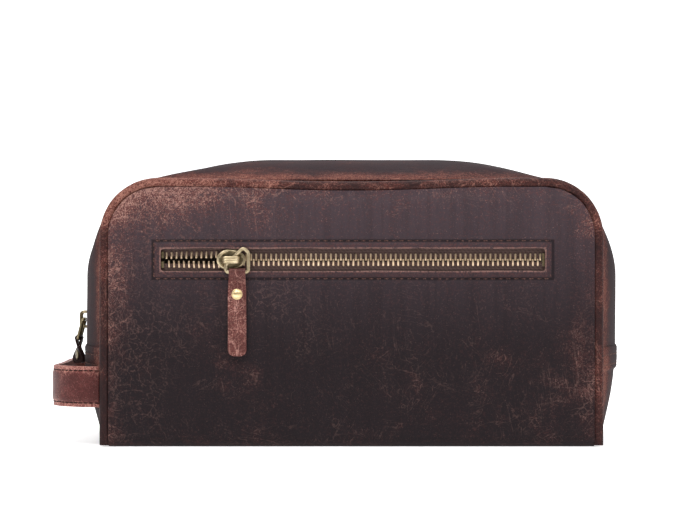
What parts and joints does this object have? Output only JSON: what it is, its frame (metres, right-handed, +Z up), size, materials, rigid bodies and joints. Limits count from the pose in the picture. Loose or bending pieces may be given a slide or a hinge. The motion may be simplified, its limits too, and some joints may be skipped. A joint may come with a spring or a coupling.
{
  "type": "shaving kit bag",
  "caption": "Boxy leather shaving kit bag with a zip over its top and down its sides, a zipped front pocket, piped edges and a side carrying loop.",
  "frame": {"origin": "middle of the base's underside", "axes": "+X along the bag's length, towards the side without the carrying loop; -Y out of the pocket's face; +Z up"},
  "size_m": [0.2919, 0.1324, 0.1459],
  "materials": {
    "shell_leather": "waxed, scuffed",
    "gusset_leather": "waxed, scuffed",
    "piping_leather": "waxed, rubbed",
    "edge_leather": "cut edge",
    "tab_leather": "waxed",
    "handle_leather": "waxed",
    "piping_cord": "twisted",
    "thread": "waxed thread",
    "lining": "plain weave",
    "zip_tape": "woven tape",
    "zip_brass": "antiqued",
    "slider_brass": "antiqued",
    "bail_brass": "antiqued",
    "rivet_brass": "polished"
  },
  "bodies": {
    "bag": {"base_edge_left": "edge_leather", "base_edge_right": "edge_leather", "body_lining": "lining", "body_shell": "shell_leather", "gusset_front_left": "gusset_leather", "gusset_front_right": "gusset_leather", "gusset_lining_front_left": "lining", "gusset_lining_front_right": "lining", "gusset_lining_rear_left": "lining", "gusset_lining_rear_right": "lining", "gusset_rear_left": "gusset_leather", "gusset_rear_right": "gusset_leather", "gusset_tape_front_left": "zip_tape", "gusset_tape_front_right": "zip_tape", "gusset_tape_rear_left": "zip_tape", "gusset_tape_rear_right": "zip_tape", "handle_inner": "handle_leather", "handle_outer": "handle_leather", "main_stop_front": "zip_brass", "main_stop_rear": "zip_brass", "piping_front": "piping_leather", "piping_front_cord": "piping_cord", "piping_rear": "piping_leather", "piping_rear_cord": "piping_cord", "pocket_pouch": "lining", "pocket_stitching": "thread", "pocket_stops": "zip_brass", "pocket_tape_lower": "zip_tape", "pocket_tape_upper": "zip_tape", "pocket_teeth_lower": "zip_brass", "pocket_teeth_upper": "zip_brass", "side_lining_left": "lining", "side_lining_right": "lining", "side_panel_left": "gusset_leather", "side_panel_right": "gusset_leather", "side_teeth_front_left": "zip_brass", "side_teeth_front_right": "zip_brass", "side_teeth_rear_left": "zip_brass", "side_teeth_rear_right": "zip_brass"},
    "front_lip": {"lip_front": "gusset_leather", "lip_lining_front": "lining", "lip_tape_front": "zip_tape", "lip_teeth_front": "zip_brass"},
    "rear_lip": {"lip_lining_rear": "lining", "lip_rear": "gusset_leather", "lip_tape_rear": "zip_tape", "lip_teeth_rear": "zip_brass"},
    "main_slider": {"main_slider": "slider_brass"},
    "main_bail": {"main_bail": "bail_brass"},
    "main_tab": {"main_tab": "tab_leather", "main_rivet": "rivet_brass"},
    "pocket_slider": {"pocket_slider": "slider_brass"},
    "pocket_bail": {"pocket_bail": "bail_brass"},
    "pocket_tab": {"pocket_tab": "tab_leather", "pocket_rivet": "rivet_brass"}
  },
  "joints": [
    {"name": "front_lip_fold", "type": "hinge", "parent": "bag", "child": "front_lip", "pos_m": [0, -0.0592, 0.134], "axis": [1, 0, 0], "range_deg": [0, 100]},
    {"name": "rear_lip_fold", "type": "hinge", "parent": "bag", "child": "rear_lip", "pos_m": [0, 0.0592, 0.134], "axis": [-1, 0, 0], "range_deg": [0, 100]},
    {"name": "main_slider_run", "type": "slide", "parent": "bag", "child": "main_slider", "axis": [0, 0, 1], "range_m": [0, 0.014]},
    {"name": "main_bail_lift", "type": "hinge", "parent": "main_slider", "child": "main_bail", "pos_m": [-0.14058, 0, 0.0625], "axis": [0, 1, 0], "range_deg": [0, 115]},
    {"name": "main_tab_lift", "type": "hinge", "parent": "main_bail", "child": "main_tab", "pos_m": [-0.14329, 0, 0.05236], "axis": [0, 1, 0], "range_deg": [0, 60]},
    {"name": "pocket_slider_run", "type": "slide", "parent": "bag", "child": "pocket_slider", "axis": [1, 0, 0], "range_m": [-0.025, 0.147]},
    {"name": "pocket_bail_lift", "type": "hinge", "parent": "pocket_slider", "child": "pocket_bail", "pos_m": [-0.0603, -0.06608, 0.0938], "axis": [-0.7071, 0, -0.7071], "range_deg": [0, 100]},
    {"name": "pocket_tab_lift", "type": "hinge", "parent": "pocket_bail", "child": "pocket_tab", "pos_m": [-0.0572, -0.06608, 0.0876], "axis": [-1, 0, 0], "range_deg": [0, 70]}
  ]
}
